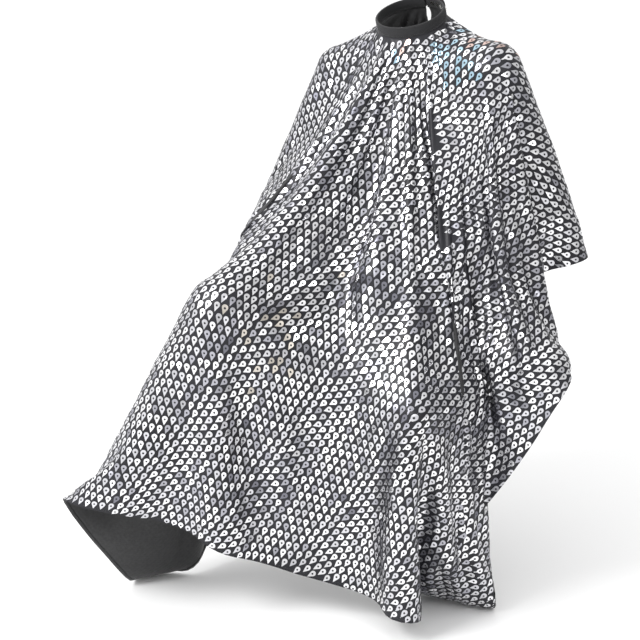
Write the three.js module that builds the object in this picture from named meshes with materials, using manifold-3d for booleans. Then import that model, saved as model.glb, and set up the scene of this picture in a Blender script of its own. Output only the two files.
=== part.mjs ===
// Barber cape worn by a seated client. Millimetres, +Z up, the wearer faces -Y and +X is the wearer's left.
// The origin is the centre of the collar opening.
import * as THREE from "three";
import { mergeVertices } from "three/addons/utils/BufferGeometryUtils.js";
import Module from "manifold-3d";

const wasm = await Module();
wasm.setup();

// ---- Cape as cut ----
const CAPE_WIDTH = 1400;
const BACK_WIDTH = 1100;                     // back hem, between the cut-off back corners
const CAPE_LENGTH = 1310;
const BACK_DROP = 220;                       // neck centre to the back hem
const WIDE_FROM = 150;                       // forward of the neck centre, where the cut-off corners end
const FRONT_DROP = CAPE_LENGTH - BACK_DROP;
const CLOTH = 0.8;                           // cloth with its turned hem, as one thickness
const CAPE_TURN = -7;                        // degrees the cape has slipped round; negative = to the wearer's left
const PANEL_GAP = 0.3;
const SLIT_GAP = 5;

// ---- Collar ----
const NECK_WIDTH = 128;
const NECK_DEPTH = 116;
const COLLAR_TILT = 22;                      // degrees, front lower than nape
const BAND_HEIGHT = 20;
const BAND_WALL = 0.8;
const FIT_GAP = 0.3;
const ELASTIC = 1.0;
const ELASTIC_HEIGHT = 13;
const BAND_THICKNESS = 2 * BAND_WALL + 3 * FIT_GAP + ELASTIC + CLOTH;
const NAPE_GAP = 4;                          // between the two ends of the band
const CLOTH_TUCK = 5;                        // cloth held inside the folded band
const GATHER = 1.15;                         // neck hole of the cloth against the band it is gathered into

// ---- Snap closure at the nape ----
const STUD_COUNT = 4;
const SNAP_PITCH = 14;
const FIRST_STUD = 14;                       // from the band's end, along the band
const SNAP_FLANGE = 4.6;
const STUD_BASE = 0.8;
const STUD_BOSS = 1.9;
const STUD_ROOT_R = 2.0;
const STUD_TIP_R = 1.4;
const RIVET_R = 1.1;
const RIVET_HEAD = 0.7;
const SOCKET_BORE_R = 2.5;
const SOCKET_HEIGHT = STUD_BOSS + 0.9;
const CAP_HEIGHT = 1.1;
const TAB_THICKNESS = 1.4;
const TAB_HEIGHT = BAND_HEIGHT - 3;
const TAB_SEWN = 12;                         // tab length lying on its own end of the band
const TAB_SNAPS = [1, 2];                    // studs in use, counted from the band's end

// ---- Wearer and chair, as the form the cape hangs over ----
const FLOOR = -1078;
const SEAT = -655;
const SHOULDER = 176;
const SKIN_GAP = 6;

// The left leg is crossed over the right one.
const posture = {
  neck: [0, 25, -70],
  leftShoulder: [SHOULDER, 25, -88], rightShoulder: [-SHOULDER, 10, -125],
  leftElbow: [265, 90, -340], rightElbow: [-235, -80, -350],
  leftHand: [100, -210, -440], rightHand: [-150, -290, -450],
  leftChest: [75, 40, -190], rightChest: [-75, 40, -190],
  leftHip: [85, 50, SEAT + 115], rightHip: [-85, 50, SEAT + 115],
  leftKnee: [-80, -430, SEAT + 165], rightKnee: [-130, -400, SEAT + 60],
  leftAnkle: [-236, -575, FLOOR + 215], rightAnkle: [-80, -370, FLOOR + 93],
  leftToe: [-350, -740, FLOOR + 128], rightToe: [-110, -470, FLOOR + 33],
  armrestRoot: [150, -50, SEAT + 75], armrestEnd: [360, -50, SEAT + 55],
};

// from, to, radius at each end
const limbs = [
  ["neck", "leftShoulder", 50, 50], ["neck", "rightShoulder", 50, 50],
  ["leftChest", "leftHip", 105, 110], ["rightChest", "rightHip", 105, 110],
  ["leftShoulder", "leftElbow", 50, 42], ["rightShoulder", "rightElbow", 50, 42],
  ["leftElbow", "leftHand", 42, 32], ["rightElbow", "rightHand", 42, 32],
  ["leftHip", "leftKnee", 85, 60], ["rightHip", "rightKnee", 85, 60],
  ["leftKnee", "leftAnkle", 60, 42], ["rightKnee", "rightAnkle", 56, 40],
  ["leftAnkle", "leftToe", 45, 32], ["rightAnkle", "rightToe", 45, 32],
  ["armrestRoot", "armrestEnd", 80, 50],
].map(([a, b, ra, rb]) => ({ a: posture[a], b: posture[b], ra: ra + SKIN_GAP, rb: rb + SKIN_GAP }));

// centre, half sizes, edge radius
const chair = [
  { centre: [15, -65, SEAT], half: [250, 230, 10], r: 15 + SKIN_GAP },
  { centre: [0, 190, SEAT + 255], half: [190, 2, 110], r: 12 + SKIN_GAP },
];

// ---- Drape ----
const ROWS = 18;                             // neck to hem
const SIDES = [9, 8, 17, 20, 17, 8, 9];      // half back, cut corner, side, front, side, cut corner, half back
const COLS = SIDES.reduce((a, b) => a + b);
const DRAPE_STEPS = 1500;
const DRAPE_PASSES = 3;
const STEP_FALL = 0.06;
const KEEP_SPEED = 0.996;
const CLING = 0.9;                           // share of a sliding step that contact takes away
const SHEAR = 0.02;
const BEND = 0.01;
const FAIRING = 30;                          // passes that turn the loose pleats into one smooth wall

const rad = THREE.MathUtils.degToRad;
const lerp = THREE.MathUtils.lerp;
const clamp = THREE.MathUtils.clamp;
const turn = rad(CAPE_TURN);
const tilt = new THREE.Matrix4().makeRotationX(rad(COLLAR_TILT));

// The band's section is measured outward from the ellipse of its inner face.
const bandPerimeter = ellipseLength(NECK_WIDTH / 2, NECK_DEPTH / 2);
const clothSeat = BAND_THICKNESS - BAND_WALL - FIT_GAP - CLOTH / 2;

function ellipseLength(a, b) {
  return Math.PI * (3 * (a + b) - Math.sqrt((3 * a + b) * (a + 3 * b)));
}

// Point on the collar: along = distance from the nape towards the wearer's right, out = from the inner
// face, up = from mid height. The collar's own frame, before its tilt.
function onCollar(along, out, up) {
  const a = along / bandPerimeter * 2 * Math.PI - turn;
  return new THREE.Vector3(-(NECK_WIDTH / 2 + out) * Math.sin(a), (NECK_DEPTH / 2 + out) * Math.cos(a), up);
}

function outward(along) {
  const a = along / bandPerimeter * 2 * Math.PI - turn;
  return new THREE.Vector3(-Math.sin(a) * NECK_DEPTH, Math.cos(a) * NECK_WIDTH, 0).normalize();
}

// The flat cape: rows of points from the neck hole to the cut edge, x to the wearer's left, y forward.
function flatCape() {
  const hole = bandPerimeter * GATHER / (2 * Math.PI);
  const right = [[0, -BACK_DROP], [-BACK_WIDTH / 2, -BACK_DROP], [-CAPE_WIDTH / 2, WIDE_FROM],
    [-CAPE_WIDTH / 2, FRONT_DROP]];
  const corner = [...right, ...right.toReversed().map(([x, y]) => [-x, y])];
  const edge = [];
  SIDES.forEach((count, side) => {
    for (let k = 0; k < count; k++) {
      edge.push([0, 1].map((c) => lerp(corner[side][c], corner[side + 1][c], k / count)));
    }
  });
  edge.push(corner.at(-1));
  const rows = [];
  for (let i = 0; i <= ROWS; i++) {
    const s = (i / ROWS) ** 1.15;
    rows.push(edge.map(([ex, ey], j) => {
      const a = 2 * Math.PI * j / COLS;
      return [lerp(-hole * Math.sin(a), ex, s), lerp(-hole * Math.cos(a), ey, s)];
    }));
  }
  return rows;
}

function pushOut(p, from, reach) {
  const away = p.clone().sub(from);
  const d = away.length();
  if (d >= reach || d < 1e-6) return false;
  p.copy(from).addScaledVector(away, reach / d);
  return true;
}

// Moves a point to the outside of the wearer, the chair and the floor.
function clearForm(p) {
  let touched = false;
  const a = new THREE.Vector3(), u = new THREE.Vector3();
  for (const limb of limbs) {
    a.fromArray(limb.a);
    u.fromArray(limb.b).sub(a);
    const t = clamp(p.clone().sub(a).dot(u) / u.lengthSq(), 0, 1);
    if (pushOut(p, a.addScaledVector(u, t), lerp(limb.ra, limb.rb, t))) touched = true;
  }
  for (const { centre, half, r } of chair) {
    const rel = p.clone().sub(new THREE.Vector3(...centre)).toArray();
    const near = rel.map((v, c) => clamp(v, -half[c], half[c]));
    if (near.every((v, c) => v === rel[c])) {
      const c = rel.map((v, k) => half[k] - Math.abs(v)).reduce((m, v, k, all) => (v < all[m] ? k : m), 0);
      near[c] = Math.sign(rel[c]) * (half[c] + r);
      p.set(...near.map((v, k) => v + centre[k]));
      touched = true;
    } else if (pushOut(p, new THREE.Vector3(...near.map((v, k) => v + centre[k])), r)) touched = true;
  }
  if (p.z < FLOOR) {
    p.z = FLOOR;
    touched = true;
  }
  return touched;
}

// Keeps the two sides of the back slit on their own side of the spine.
function keepSlitOpen(p, j) {
  const across = new THREE.Vector3(Math.cos(turn), -Math.sin(turn), 0);
  const side = j <= SIDES[0] ? -1 : j >= COLS - SIDES[0] ? 1 : 0;
  const x = p.dot(across) * side;
  if (side && x < SLIT_GAP / 2 && p.y > 0) p.addScaledVector(across, side * (SLIT_GAP / 2 - x));
}

function drape() {
  const flat = flatCape();
  const width = COLS + 1;
  const at = (i, j) => i * width + j;
  const flatAt = (k) => flat[Math.floor(k / width)][k % width];
  const now = [], before = [];
  for (let i = 0; i <= ROWS; i++) {
    for (let j = 0; j <= COLS; j++) {
      const along = lerp(NAPE_GAP / 2 + 1, bandPerimeter - NAPE_GAP / 2 - 1, j / COLS);
      const p = onCollar(along, clothSeat, -BAND_HEIGHT / 2 - 2).applyMatrix4(tilt);
      const [dx, dy] = [0, 1].map((c) => flat[i][j][c] - flat[0][j][c]);
      p.x += 0.98 * (dx * Math.cos(turn) - dy * Math.sin(turn));
      p.y -= 0.98 * (dy * Math.cos(turn) + dx * Math.sin(turn));
      p.z += i ? Math.min(Math.hypot(dx, dy), 120) / 2 : 0;
      now.push(p);
      before.push(p.clone());
    }
  }
  const threads = [];
  const tie = (a, b, stiff) => {
    const [ax, ay] = flatAt(a), [bx, by] = flatAt(b);
    threads.push([a, b, Math.hypot(ax - bx, ay - by), stiff]);
  };
  for (let i = 0; i <= ROWS; i++) {
    for (let j = 0; j <= COLS; j++) {
      if (i < ROWS) tie(at(i, j), at(i + 1, j), 1);
      if (i > 0 && j < COLS) tie(at(i, j), at(i, j + 1), 1);
      if (i < ROWS && j < COLS) {
        tie(at(i, j), at(i + 1, j + 1), SHEAR);
        tie(at(i, j + 1), at(i + 1, j), SHEAR);
      }
      if (i < ROWS - 1) tie(at(i, j), at(i + 2, j), BEND);
      if (i > 0 && j < COLS - 1) tie(at(i, j), at(i, j + 2), BEND);
    }
  }
  const held = (k) => k < width;
  const d = new THREE.Vector3();
  for (let step = 0; step < DRAPE_STEPS; step++) {
    for (let k = width; k < now.length; k++) {
      d.copy(now[k]).sub(before[k]).multiplyScalar(KEEP_SPEED);
      before[k].copy(now[k]);
      now[k].add(d);
      now[k].z -= STEP_FALL;
    }
    for (let pass = 0; pass < DRAPE_PASSES; pass++) {
      for (const [a, b, rest, stiff] of threads) {
        d.copy(now[b]).sub(now[a]);
        const long = d.length();
        const share = held(a) || held(b) ? 1 : 0.5;
        d.multiplyScalar(stiff * share * (long - rest) / long);
        if (!held(a)) now[a].add(d);
        if (!held(b)) now[b].sub(d);
      }
    }
    for (let k = width; k < now.length; k++) {
      keepSlitOpen(now[k], k % width);
      if (clearForm(now[k])) before[k].lerp(now[k], CLING);
    }
  }
  return fair(now, at);
}

// Evens out the loose pleats along each row, so the cape is one wall that never crosses itself, and then
// stretches each row back to the extent it had.
function fair(points, at) {
  const row = (i) => points.slice(at(i, 0), at(i, COLS) + 1);
  const extent = Array.from({ length: ROWS + 1 }, (_, i) => new THREE.Box3().setFromPoints(row(i)));
  for (let pass = 0; pass < FAIRING; pass++) {
    const old = points.map((p) => p.clone());
    for (let i = 1; i <= ROWS; i++) {
      for (let j = 1; j < COLS; j++) {
        const mid = old[at(i, j - 1)].clone().add(old[at(i, j + 1)]).multiplyScalar(0.5);
        points[at(i, j)].lerp(mid, 0.6);
      }
    }
  }
  for (let i = 1; i <= ROWS; i++) {
    const now = new THREE.Box3().setFromPoints(row(i));
    const size = now.getSize(new THREE.Vector3()), wanted = extent[i].getSize(new THREE.Vector3());
    const centre = now.getCenter(new THREE.Vector3()), middle = extent[i].getCenter(new THREE.Vector3());
    row(i).forEach((p, j) => {
      p.sub(centre).multiply(wanted).divide(size).add(middle);
      keepSlitOpen(p, j);
      clearForm(p);
    });
  }
  const rows = [];
  for (let i = 0; i <= ROWS; i++) rows.push(points.slice(at(i, 0), at(i, COLS) + 1));
  return rows;
}

// ---- Solids ----
function solid(points, faces) {
  const g = new THREE.BufferGeometry();
  g.setAttribute("position", new THREE.Float32BufferAttribute(points.flatMap((p) => p.toArray()), 3));
  g.setIndex(faces.flat());
  return g;
}

// Sheet between a grid of points, half its thickness to each side of them.
function shell(grid, normals, thickness) {
  const n = grid.length, m = grid[0].length;
  const points = [], faces = [];
  for (const side of [1, -1]) {
    grid.forEach((row, i) => row.forEach((p, j) => {
      points.push(p.clone().addScaledVector(normals[i][j], side * thickness / 2));
    }));
  }
  const v = (i, j, under) => i * m + j + (under ? n * m : 0);
  const quad = (a, b, c, d) => faces.push([a, b, c], [a, c, d]);
  for (let i = 0; i < n - 1; i++) {
    for (let j = 0; j < m - 1; j++) {
      quad(v(i, j), v(i + 1, j), v(i + 1, j + 1), v(i, j + 1));
      quad(v(i, j, 1), v(i, j + 1, 1), v(i + 1, j + 1, 1), v(i + 1, j, 1));
    }
  }
  for (let j = 0; j < m - 1; j++) {
    quad(v(0, j), v(0, j + 1), v(0, j + 1, 1), v(0, j, 1));
    quad(v(n - 1, j), v(n - 1, j, 1), v(n - 1, j + 1, 1), v(n - 1, j + 1));
  }
  for (let i = 0; i < n - 1; i++) {
    quad(v(i, 0), v(i, 0, 1), v(i + 1, 0, 1), v(i + 1, 0));
    quad(v(i, m - 1), v(i + 1, m - 1), v(i + 1, m - 1, 1), v(i, m - 1, 1));
  }
  return solid(points, faces);
}

// Section points carried through the stations, closed by a cap at each end.
function swept(section, stations, place) {
  const m = section.length;
  const points = stations.flatMap((s) => section.map(([out, up]) => place(s, out, up)));
  const faces = [];
  for (let i = 0; i < stations.length - 1; i++) {
    for (let k = 0; k < m; k++) {
      const a = i * m + k, b = i * m + (k + 1) % m;
      faces.push([a, b + m, b], [a, a + m, b + m]);
    }
  }
  const cap = THREE.ShapeUtils.triangulateShape(section.map(([x, y]) => new THREE.Vector2(x, y)), []);
  const last = (stations.length - 1) * m;
  for (const [a, b, c] of cap) faces.push([a, b, c], [a + last, c + last, b + last]);
  return solid(points, faces);
}

function asManifold(geometry) {
  const g = geometry.clone();
  g.deleteAttribute("uv");
  g.deleteAttribute("normal");
  const welded = mergeVertices(g, 1e-5);
  return new wasm.Manifold(new wasm.Mesh({
    numProp: 3,
    vertProperties: new Float32Array(welded.attributes.position.array),
    triVerts: new Uint32Array(welded.index.array),
  }));
}

function asGeometry(manifold) {
  const mesh = manifold.getMesh();
  const g = new THREE.BufferGeometry();
  g.setAttribute("position", new THREE.BufferAttribute(new Float32Array(mesh.vertProperties), 3));
  g.setIndex([...mesh.triVerts]);
  return g;
}

function cut(body, tools) {
  return asGeometry(tools.reduce((left, tool) => left.subtract(asManifold(tool)), asManifold(body)));
}

function turned(profile, segments = 20) {
  return new THREE.LatheGeometry(profile.map(([r, h]) => new THREE.Vector2(r, h)), segments);
}

// Stands a turned part on the collar, its axis along the outward direction.
function onBand(geometry, along, out) {
  const y = outward(along);
  const z = new THREE.Vector3(0, 0, 1);
  const m = new THREE.Matrix4().makeBasis(z.clone().cross(y).negate(), y, z);
  m.setPosition(onCollar(along, 0, 0).addScaledVector(y, out));
  return geometry.applyMatrix4(m);
}

const steps = (from, to, count) => Array.from({ length: count + 1 }, (_, k) => lerp(from, to, k / count));

const materials = {
  print: new THREE.MeshStandardMaterial({ color: 0x77777d, roughness: 0.4, metalness: 0.2 }),
  knit: new THREE.MeshStandardMaterial({ color: 0x17171a, roughness: 0.9 }),
  elastic: new THREE.MeshStandardMaterial({ color: 0x222226, roughness: 0.8 }),
  metal: new THREE.MeshStandardMaterial({ color: 0xb9bcc0, roughness: 0.3, metalness: 1 }),
  plastic: new THREE.MeshStandardMaterial({ color: 0x101012, roughness: 0.4 }),
};

const cape = new THREE.Group();

function add(name, geometry, material) {
  const mesh = new THREE.Mesh(geometry, material);
  mesh.name = name;
  cape.add(mesh);
}

// ---- Cloth, one sheet in panels ----
const surface = drape();

// The neck edge runs straight up into the folded band.
const neckEdge = surface[0].map((_, j) => {
  const along = lerp(NAPE_GAP / 2 + 1, bandPerimeter - NAPE_GAP / 2 - 1, j / COLS);
  return onCollar(along, clothSeat, -BAND_HEIGHT / 2 + CLOTH_TUCK).applyMatrix4(tilt);
});
surface.unshift(neckEdge);

// Every second point is enough for the faired surface.
const COARSE = 2;
const grid = surface.map((row) => row.filter((_, j) => j % COARSE === 0));
const gridNormals = grid.map((row, i) => row.map((_, j) => {
  const down = grid[Math.min(i + 1, grid.length - 1)][j].clone().sub(grid[Math.max(i - 1, 0)][j]);
  const along = row[Math.min(j + 1, row.length - 1)].clone().sub(row[Math.max(j - 1, 0)]);
  return down.cross(along).normalize();
}));

const bands = { yoke: [0, 7], body: [7, 13], skirt: [13, grid.length - 1] };
const sectors = { back_right: [0, 7], right: [7, 17], front: [17, 27], left: [27, 37], back_left: [37, 44] };

for (const [band, [i0, i1]] of Object.entries(bands)) {
  for (const [sector, [j0, j1]] of Object.entries(sectors)) {
    const rows = grid.slice(i0, i1 + 1).map((row) => row.slice(j0, j1 + 1).map((p) => p.clone()));
    const normals = gridNormals.slice(i0, i1 + 1).map((row) => row.slice(j0, j1 + 1));
    const draw = (p, q) => p.addScaledVector(q.clone().sub(p).normalize(), PANEL_GAP / 2);
    const n = rows.length, m = rows[0].length;
    if (i0 > 0) rows[0].forEach((p, j) => draw(p, rows[1][j]));
    if (i1 < grid.length - 1) rows[n - 1].forEach((p, j) => draw(p, rows[n - 2][j]));
    if (j0 > 0) rows.forEach((row) => draw(row[0], row[1]));
    if (j1 < grid[0].length - 1) rows.forEach((row) => draw(row[m - 1], row[m - 2]));
    add(`cloth_${band}_${sector}`, shell(rows, normals, CLOTH), materials.print);
  }
}

// ---- Collar: a strip folded over the elastic and the cloth's neck edge ----
const half = BAND_HEIGHT / 2;
const fold = [[0, -half], [BAND_WALL, -half], [BAND_WALL, half - BAND_WALL],
  [BAND_THICKNESS - BAND_WALL, half - BAND_WALL], [BAND_THICKNESS - BAND_WALL, -half],
  [BAND_THICKNESS, -half], [BAND_THICKNESS, half], [0, half]];
const bandStart = NAPE_GAP / 2;
const bandEnd = bandPerimeter - NAPE_GAP / 2;
const studsAt = Array.from({ length: STUD_COUNT }, (_, k) => bandEnd - FIRST_STUD - k * SNAP_PITCH);
const rivetHole = () => turned([[0, -1], [RIVET_R + FIT_GAP, -1], [RIVET_R + FIT_GAP, 12], [0, 12]]);
const band = swept(fold, steps(bandStart, bandEnd, 72), onCollar);
add("collar_band", cut(band, studsAt.map((s) => onBand(rivetHole(), s, -1))), materials.knit);

const elasticEnd = studsAt.at(-1) - RIVET_R - 5;
const elasticIn = BAND_WALL + FIT_GAP;
const elasticTop = half - BAND_WALL - FIT_GAP;
add("collar_elastic", swept(
  [[elasticIn, elasticTop - ELASTIC_HEIGHT], [elasticIn + ELASTIC, elasticTop - ELASTIC_HEIGHT],
    [elasticIn + ELASTIC, elasticTop], [elasticIn, elasticTop]],
  steps(bandStart + 1, elasticEnd, 60), onCollar), materials.elastic);

// ---- Studs through the band's right-over-left end, each on a rivet ----
const boreDepth = STUD_BASE + 0.3;
studsAt.forEach((s, k) => {
  add(`stud_${k + 1}`, onBand(turned([
    [RIVET_R + 0.1, 0], [SNAP_FLANGE, 0], [SNAP_FLANGE, STUD_BASE], [STUD_ROOT_R, STUD_BASE],
    [STUD_TIP_R, STUD_BASE + STUD_BOSS], [0, STUD_BASE + STUD_BOSS], [0, boreDepth], [RIVET_R + 0.1, boreDepth],
    [RIVET_R + 0.1, 0],
  ]), s, BAND_THICKNESS + 0.15), materials.metal);
  const reach = RIVET_HEAD + 0.3 + BAND_THICKNESS + boreDepth;
  add(`stud_rivet_${k + 1}`, onBand(turned([
    [0, 0], [SNAP_FLANGE - 0.4, 0], [SNAP_FLANGE - 0.4, RIVET_HEAD], [RIVET_R, RIVET_HEAD], [RIVET_R, reach],
    [0, reach],
  ]), s, -0.3 - RIVET_HEAD), materials.metal);
});

// ---- Tab: sewn to the other end of the band, lying over the studs ----
// Drawn along the band from its hinge line; positive = over the studded end.
const socketAt = BAND_THICKNESS + 0.15 + STUD_BASE + FIT_GAP;
const tabRise = socketAt + SOCKET_HEIGHT + FIT_GAP;
const tabSnapsAt = TAB_SNAPS.map((k) => studsAt[k - 1]);
const hingeAt = bandStart + TAB_SEWN;
const tabLength = hingeAt + bandPerimeter - tabSnapsAt.at(-1) + 11;
const hingeOut = BAND_THICKNESS + FIT_GAP + TAB_THICKNESS / 2;

function onTab(s, out, up) {
  const rise = THREE.MathUtils.smoothstep(s, TAB_SEWN, TAB_SEWN + 9);
  return onCollar(hingeAt - s, lerp(hingeOut - TAB_THICKNESS / 2, tabRise, rise) + out, up);
}

const tabSection = [[0, -TAB_HEIGHT / 2], [TAB_THICKNESS, -TAB_HEIGHT / 2], [TAB_THICKNESS, TAB_HEIGHT / 2],
  [0, TAB_HEIGHT / 2]];
const tab = swept(tabSection, steps(tabLength, 0, 30), onTab);
add("tab_strip", cut(tab, tabSnapsAt.map((s) => onBand(rivetHole(), s, tabRise - 2))), materials.knit);

const postBore = RIVET_R + 0.1;
tabSnapsAt.forEach((s, k) => {
  const floorAt = STUD_BOSS + 0.2;
  add(`socket_${k + 1}`, onBand(turned([
    [SOCKET_BORE_R, 0], [SNAP_FLANGE, 0], [SNAP_FLANGE, SOCKET_HEIGHT], [postBore, SOCKET_HEIGHT],
    [postBore, floorAt], [SOCKET_BORE_R, floorAt], [SOCKET_BORE_R, 0],
  ]), s, socketAt), materials.metal);
  const post = SOCKET_HEIGHT - floorAt + FIT_GAP + TAB_THICKNESS + FIT_GAP;
  add(`snap_cap_${k + 1}`, onBand(turned([
    [0, 0], [RIVET_R, 0], [RIVET_R, post], [SNAP_FLANGE + 0.6, post],
    [SNAP_FLANGE + 0.6, post + CAP_HEIGHT * 0.45], [SNAP_FLANGE - 0.6, post + CAP_HEIGHT * 0.9],
    [0, post + CAP_HEIGHT],
  ]), s, socketAt + floorAt), materials.plastic);
});

// The collar and its closure are drawn level and tilted together; the cloth is already in place.
cape.children.filter((mesh) => !mesh.name.startsWith("cloth")).forEach((mesh) => mesh.geometry.applyMatrix4(tilt));
const hinge = onCollar(hingeAt, hingeOut, 0).applyMatrix4(tilt);
cape.userData.tabHinge = hinge.toArray();

cape.traverse((mesh) => {
  if (mesh.isMesh) mesh.geometry.computeVertexNormals();
});

export default cape;
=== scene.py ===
# Barber cape hanging over a seated client, who is left out. Metres, +Z up; the wearer faces -Y and +X is
# the wearer's left. The origin is the centre of the collar opening.
import math

import bpy
import numpy as np
from mathutils import Matrix, Vector


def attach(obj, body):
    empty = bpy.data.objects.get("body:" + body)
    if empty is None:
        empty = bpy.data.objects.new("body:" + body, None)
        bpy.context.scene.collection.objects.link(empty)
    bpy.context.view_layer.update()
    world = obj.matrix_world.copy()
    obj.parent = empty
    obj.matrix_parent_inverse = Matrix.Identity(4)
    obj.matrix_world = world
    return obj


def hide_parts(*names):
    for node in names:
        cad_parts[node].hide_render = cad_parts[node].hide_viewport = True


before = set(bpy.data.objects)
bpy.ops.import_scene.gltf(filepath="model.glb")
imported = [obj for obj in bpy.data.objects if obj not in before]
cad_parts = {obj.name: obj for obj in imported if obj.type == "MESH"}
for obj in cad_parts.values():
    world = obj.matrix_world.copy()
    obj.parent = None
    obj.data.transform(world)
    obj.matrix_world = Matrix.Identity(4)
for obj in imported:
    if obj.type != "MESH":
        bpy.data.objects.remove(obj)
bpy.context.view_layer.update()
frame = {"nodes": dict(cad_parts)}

MM = 0.001
rng = np.random.default_rng(11)

# ---- Cape as cut, collar and closure: the same sizes as the CAD model ----
CAPE_WIDTH, BACK_WIDTH, CAPE_LENGTH, BACK_DROP = 1400 * MM, 1100 * MM, 1310 * MM, 220 * MM
WIDE_FROM = 150 * MM                # forward of the neck's centre, where the cut-off back corners end
FRONT_DROP = CAPE_LENGTH - BACK_DROP
CAPE_TURN = math.radians(-7)
NECK_WIDTH, NECK_DEPTH = 128 * MM, 116 * MM
COLLAR_TILT = math.radians(22)
BAND_HEIGHT, BAND_WALL, FIT_GAP, ELASTIC, CLOTH_CAD = 20 * MM, 0.8 * MM, 0.3 * MM, 1.0 * MM, 0.8 * MM
BAND_THICKNESS = 2 * BAND_WALL + 3 * FIT_GAP + ELASTIC + CLOTH_CAD
CLOTH_SEAT = BAND_THICKNESS - BAND_WALL - FIT_GAP - CLOTH_CAD / 2
NAPE_GAP, CLOTH_TUCK, GATHER = 4 * MM, 5 * MM, 1.15
FIRST_STUD, SNAP_PITCH, STUD_BASE, STUD_BOSS = 14 * MM, 14 * MM, 0.8 * MM, 1.9 * MM
TAB_THICKNESS, TAB_HEIGHT, TAB_SEWN = 1.4 * MM, BAND_HEIGHT - 3 * MM, 12 * MM
TAB_END, TAB_RISE_RUN = 11 * MM, 9 * MM
SLIT_GAP = 5 * MM

# ---- Wearer and chair, as the form the cape hangs over ----
FLOOR, SEAT, SHOULDER = -1.078, -0.655, 0.176
posture = dict(
    neck=(0, 0.025, -0.070),
    left_shoulder=(SHOULDER, 0.025, -0.088), right_shoulder=(-SHOULDER, 0.010, -0.125),
    left_elbow=(0.265, 0.090, -0.340), right_elbow=(-0.235, -0.080, -0.350),
    left_hand=(0.100, -0.210, -0.440), right_hand=(-0.150, -0.290, -0.450),
    left_chest=(0.075, 0.040, -0.190), right_chest=(-0.075, 0.040, -0.190),
    left_hip=(0.085, 0.050, SEAT + 0.115), right_hip=(-0.085, 0.050, SEAT + 0.115),
    left_knee=(-0.080, -0.430, SEAT + 0.165), right_knee=(-0.130, -0.400, SEAT + 0.060),
    left_ankle=(-0.236, -0.575, FLOOR + 0.215), right_ankle=(-0.080, -0.370, FLOOR + 0.093),
    left_toe=(-0.350, -0.740, FLOOR + 0.128), right_toe=(-0.110, -0.470, FLOOR + 0.033),
    armrest_root=(0.150, -0.050, SEAT + 0.075), armrest_end=(0.360, -0.050, SEAT + 0.055),
)
# from, to, radius at each end
limbs = [
    ("neck", "left_shoulder", 0.050, 0.050), ("neck", "right_shoulder", 0.050, 0.050),
    ("left_chest", "left_hip", 0.105, 0.110), ("right_chest", "right_hip", 0.105, 0.110),
    ("left_shoulder", "left_elbow", 0.050, 0.042), ("right_shoulder", "right_elbow", 0.050, 0.042),
    ("left_elbow", "left_hand", 0.042, 0.032), ("right_elbow", "right_hand", 0.042, 0.032),
    ("left_hip", "left_knee", 0.085, 0.060), ("right_hip", "right_knee", 0.085, 0.060),
    ("left_knee", "left_ankle", 0.060, 0.042), ("right_knee", "right_ankle", 0.056, 0.040),
    ("left_ankle", "left_toe", 0.045, 0.032), ("right_ankle", "right_toe", 0.045, 0.032),
    ("armrest_root", "armrest_end", 0.080, 0.050),
]
# centre, half sizes, edge radius
chair = [
    ((0.015, -0.065, SEAT), (0.250, 0.230, 0.010), 0.015),
    ((0, 0.190, SEAT + 0.255), (0.190, 0.002, 0.110), 0.012),
]

# ---- Drape, from coarse to fine: points are doubled each way from one level to the next ----
SIDES = (9, 8, 17, 20, 17, 8, 9)    # half back, cut corner, side, front, side, cut corner, half back
ROWS, ROW_POWER = 18, 1.15
SHEAR, KEEP_SPEED, CLING = 0.02, 0.996, 0.9
SKIN_GAP = 0.004
# scale, steps, passes, fall for each step, bending, reach of the cloth's own contact, steps between contacts
LEVELS = [
    (1, 1500, 3, 0.00006, 0.01, 0.012, 6),
    (2, 400, 4, 0.00004, 0.02, 0.008, 3),
    (4, 200, 6, 0.00003, 0.05, 0.005, 3),
]


def ellipse_length(a, b):
    return math.pi * (3 * (a + b) - math.sqrt((3 * a + b) * (a + 3 * b)))


BAND_LENGTH = ellipse_length(NECK_WIDTH / 2, NECK_DEPTH / 2)


def on_collar(along, out, up):
    """Points on the collar: along from the nape towards the wearer's right, out from the inner face, up
    from half height."""
    a = np.asarray(along, float) / BAND_LENGTH * 2 * math.pi - CAPE_TURN
    out, up = np.broadcast_to(out, a.shape), np.broadcast_to(up, a.shape)
    x, y = -(NECK_WIDTH / 2 + out) * np.sin(a), (NECK_DEPTH / 2 + out) * np.cos(a)
    c, s = math.cos(COLLAR_TILT), math.sin(COLLAR_TILT)
    return np.stack([x, y * c - up * s, y * s + up * c], -1)


def cape_edges(count):
    """The neck hole's and the cut edge's flat points, x to the wearer's left, y forward from the neck."""
    hole = BAND_LENGTH * GATHER / (2 * math.pi)
    back, front = BACK_WIDTH / 2, CAPE_WIDTH / 2
    corner = [(0, -BACK_DROP), (-back, -BACK_DROP), (-front, WIDE_FROM), (-front, FRONT_DROP)]
    corner += [(-x, y) for x, y in reversed(corner)]
    starts = np.cumsum((0,) + SIDES)
    t = np.arange(count + 1) / count * starts[-1]
    edge = np.stack([np.interp(t, starts, [c[k] for c in corner]) for k in (0, 1)], 1)
    a = 2 * math.pi * np.arange(count + 1) / count
    return np.stack([-hole * np.sin(a), -hole * np.cos(a)], 1), edge


def half_width(y):
    return np.interp(y, [-BACK_DROP, WIDE_FROM], [BACK_WIDTH / 2, CAPE_WIDTH / 2])


def flat_cape(rows, cols):
    inner, edge = cape_edges(cols)
    s = ((np.arange(rows + 1) / rows) ** ROW_POWER)[:, None, None]
    return inner * (1 - s) + edge * s


limb_a = np.array([posture[n[0]] for n in limbs])
limb_b = np.array([posture[n[1]] for n in limbs])
limb_r = np.array([n[2:] for n in limbs])


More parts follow.
